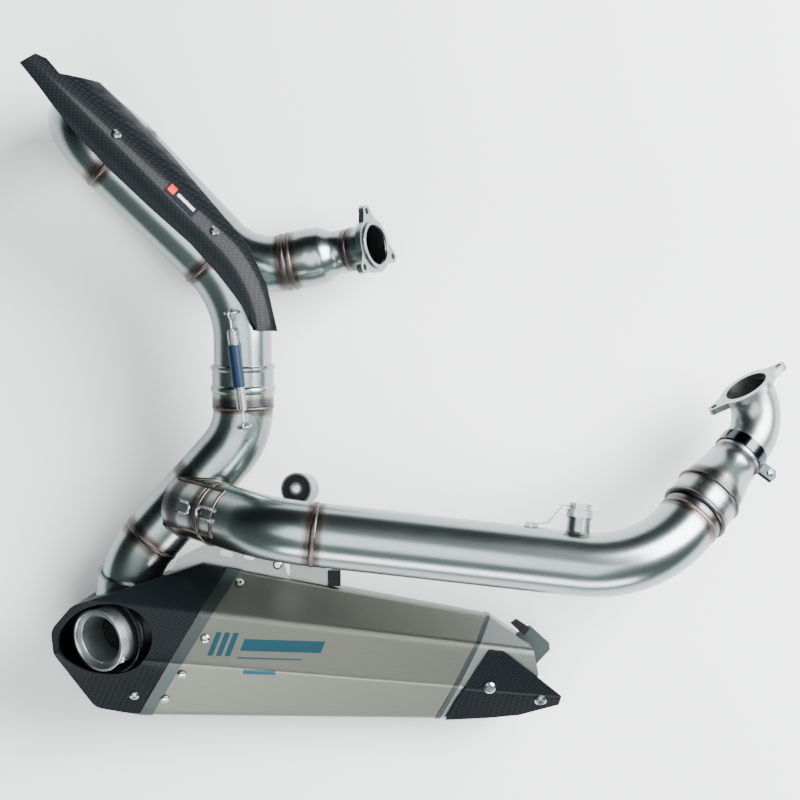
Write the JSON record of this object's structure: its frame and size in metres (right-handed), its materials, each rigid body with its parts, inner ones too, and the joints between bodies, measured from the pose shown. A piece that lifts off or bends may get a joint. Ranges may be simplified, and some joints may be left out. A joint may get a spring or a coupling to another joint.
{
  "type": "motorcycle exhaust system",
  "caption": "Racing exhaust for a V-twin motorcycle: looped rear header with carbon shield, front pipe, collector and faceted muffler joined by slip joints",
  "frame": {"origin": "middle of the box's footprint, on the surface that the system lies on", "axes": "+X the motorcycle's front, +Y its top, +Z its right-hand side, which faces up as the system lies"},
  "size_m": [0.7486, 0.657, 0.2019],
  "materials": {
    "stainless_steel": "cool-toned stainless tube, finely brushed and half polished",
    "weld_beads": "rippled weld bead with straw and blue heat tint",
    "cast_steel": "satin, machined flange faces",
    "titanium_sleeve": "satin titanium sheet, fine grain along the sleeve",
    "front_cap_metal": "formed sheet, satin",
    "carbon_fibre": "clear-coated twill carbon weave",
    "bright_fasteners": "bright plated",
    "lockwire": "twisted bright wire",
    "rubber": "dark blue-black silicone rubber",
    "glass_fibre": "matted glass fibre wool"
  },
  "bodies": {
    "collector": {"slip_socket": "stainless_steel", "collector_pipe": "stainless_steel", "collector_branch": "stainless_steel", "link_pipe": "stainless_steel", "collector_beads": "weld_beads", "lower_spring_lug": "stainless_steel", "branch_spring_hook": "stainless_steel", "muffler_inlet_collar": "stainless_steel", "outlet_tip": "stainless_steel", "insert_screw": "bright_fasteners", "inlet_core": "stainless_steel", "outlet_core": "stainless_steel", "baffle_plates": "stainless_steel", "glass_fibre_packing": "glass_fibre", "sleeve_trim_bands": "stainless_steel", "sleeve_rivets": "bright_fasteners", "muffler_screws": "bright_fasteners", "muffler_sleeve": "titanium_sleeve", "end_cap": "carbon_fibre", "front_cap": "front_cap_metal", "front_guard": "carbon_fibre", "guard_screws": "bright_fasteners", "mount_plate": "stainless_steel", "mount_bar": "stainless_steel", "rubber_stops": "rubber", "front_bracket": "stainless_steel"},
    "rear_header": {"rear_down_pipe": "stainless_steel", "rear_front_leg": "stainless_steel", "rear_u_bend": "stainless_steel", "rear_back_leg": "stainless_steel", "rear_port_cone": "stainless_steel", "rear_port_spigot": "stainless_steel", "rear_weld_beads": "weld_beads", "heat_shield": "carbon_fibre", "shield_posts": "stainless_steel", "shield_screws": "bright_fasteners", "upper_spring_lug": "stainless_steel"},
    "rear_flange": {"rear_flange": "cast_steel"},
    "spring": {"spring": "bright_fasteners", "spring_rubber_sleeve": "rubber"},
    "front_pipe": {"front_elbow": "stainless_steel", "front_long_pipe": "stainless_steel", "front_weld_beads": "weld_beads", "front_slip_socket": "stainless_steel", "lambda_boss": "stainless_steel", "lambda_washer": "stainless_steel", "lambda_plug": "bright_fasteners", "lockwire": "lockwire", "lockwire_lug": "stainless_steel", "front_spring_hook": "stainless_steel", "hanger_bracket": "stainless_steel", "hanger_rubber": "rubber", "hanger_bush": "bright_fasteners"},
    "front_header": {"front_cone": "stainless_steel", "front_port_elbow": "cast_steel", "front_flange": "cast_steel", "clamp_band": "stainless_steel", "clamp_screw": "bright_fasteners"},
    "noise_insert": {"noise_insert": "stainless_steel"}
  },
  "joints": [
    {"name": "rear_header_swivel", "type": "hinge", "parent": "collector", "child": "rear_header", "pos_m": [-0.16934, -0.0035, 0.08807], "axis": [0, 0.9938, 0.1115], "range_deg": [-2.5, 2.5]},
    {"name": "spring_tilt", "type": "hinge", "parent": "rear_header", "child": "spring", "pos_m": [-0.17877, 0.08112, 0.13805], "axis": [0.1029, -0.095, 0.9901], "range_deg": [-3, 3]},
    {"name": "rear_flange_turn", "type": "hinge", "parent": "rear_header", "child": "rear_flange", "pos_m": [-0.04273, 0.15363, 0.06494], "axis": [0.8565, 0.1381, 0.4973], "continuous": true},
    {"name": "front_pipe_swivel", "type": "hinge", "parent": "collector", "child": "front_pipe", "pos_m": [-0.19434, -0.1145, 0.11407], "axis": [0.75, -0.1625, 0.6412], "range_deg": [-4, 4]},
    {"name": "front_header_swivel", "type": "hinge", "parent": "front_pipe", "child": "front_header", "pos_m": [0.27572, -0.11236, 0.13633], "axis": [0.5982, 0.6724, -0.4359], "range_deg": [-8, 8]},
    {"name": "noise_insert_slide", "type": "slide", "parent": "collector", "child": "noise_insert", "axis": [-0.5284, -0.1894, 0.8276], "range_m": [0, 0.045]}
  ],
  "couplings": [
    {"joint": "spring_tilt", "follows": "rear_header_swivel", "ratio": -0.36484}
  ]
}
